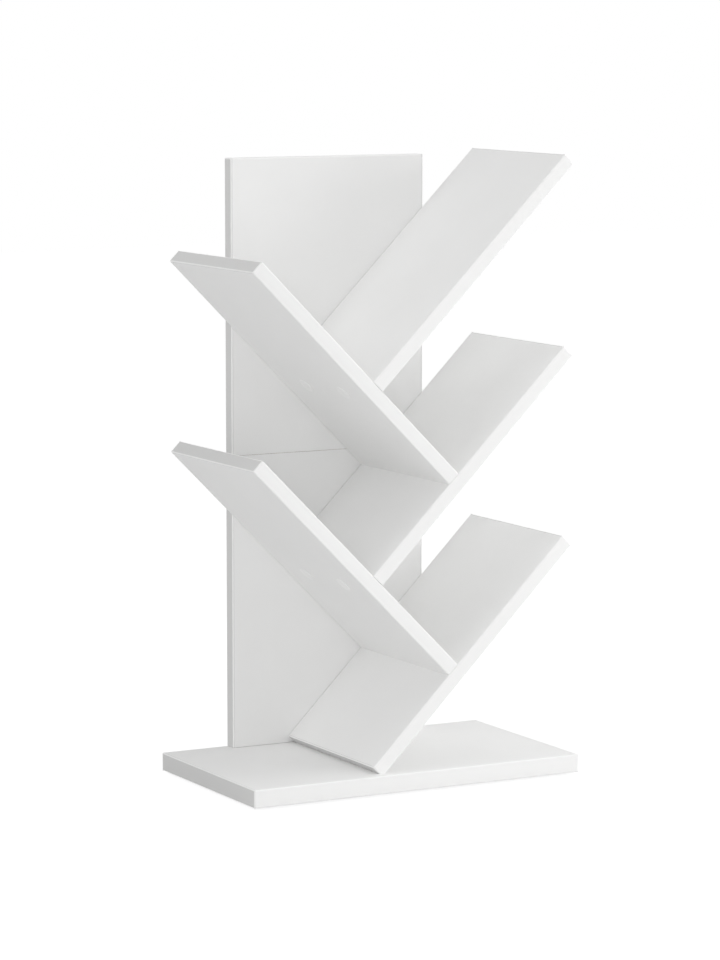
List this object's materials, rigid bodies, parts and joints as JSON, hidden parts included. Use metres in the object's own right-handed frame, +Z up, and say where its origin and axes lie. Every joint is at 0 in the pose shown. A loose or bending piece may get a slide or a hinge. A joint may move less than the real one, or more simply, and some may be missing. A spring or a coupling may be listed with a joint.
{
  "type": "tree shaped bookshelf",
  "caption": "Desktop bookshelf shaped like a tree: slanted shelves branch left and right from an upright back panel on a flat base and hold books in leaning bins.",
  "frame": {"origin": "middle of the base's footprint, on the surface that its pads stand on", "axes": "+X to the right seen from the front, +Y to the back where the trunk is, +Z up"},
  "size_m": [0.3, 0.17, 0.5115],
  "materials": {
    "white_board": "white melamine faced chipboard, satin",
    "edge_band": "white edge band, satin, rounded arris",
    "screw_cap": "white stick-on film, satin",
    "screw_steel": "bright zinc plate",
    "dowel_wood": "bare beech",
    "foot_pad": "grey foam, matte"
  },
  "bodies": {
    "root": {"base_back_band": "edge_band", "base_board": "white_board", "base_front_band": "edge_band", "base_left_band": "edge_band", "base_right_band": "edge_band", "base_screws": "screw_steel", "foot_pads": "foot_pad", "lower_back_panel": "white_board", "lower_left_shelf": "white_board", "lower_left_shelf_back_band": "edge_band", "lower_left_shelf_back_screws": "screw_steel", "lower_left_shelf_end_screws": "screw_steel", "lower_left_shelf_front_band": "edge_band", "lower_left_shelf_screw_caps": "screw_cap", "lower_left_shelf_tip_band": "edge_band", "lower_panel_left_band": "edge_band", "lower_panel_right_band": "edge_band", "lower_right_shelf": "white_board", "lower_right_shelf_back_band": "edge_band", "lower_right_shelf_back_screws": "screw_steel", "lower_right_shelf_foot_band": "edge_band", "lower_right_shelf_front_band": "edge_band", "lower_right_shelf_screw_caps": "screw_cap", "lower_right_shelf_tip_band": "edge_band", "middle_right_shelf": "white_board", "middle_right_shelf_back_band": "edge_band", "middle_right_shelf_back_screws": "screw_steel", "middle_right_shelf_end_screws": "screw_steel", "middle_right_shelf_front_band": "edge_band", "middle_right_shelf_screw_caps": "screw_cap", "middle_right_shelf_tip_band": "edge_band", "seam_dowels": "dowel_wood", "upper_back_panel": "white_board", "upper_left_shelf": "white_board", "upper_left_shelf_back_band": "edge_band", "upper_left_shelf_back_screws": "screw_steel", "upper_left_shelf_end_screws": "screw_steel", "upper_left_shelf_front_band": "edge_band", "upper_left_shelf_screw_caps": "screw_cap", "upper_left_shelf_tip_band": "edge_band", "upper_panel_left_band": "edge_band", "upper_panel_right_band": "edge_band", "upper_panel_top_band": "edge_band", "upper_right_shelf": "white_board", "upper_right_shelf_back_band": "edge_band", "upper_right_shelf_back_screws": "screw_steel", "upper_right_shelf_end_screws": "screw_steel", "upper_right_shelf_front_band": "edge_band", "upper_right_shelf_tip_band": "edge_band"}
  },
  "joints": []
}
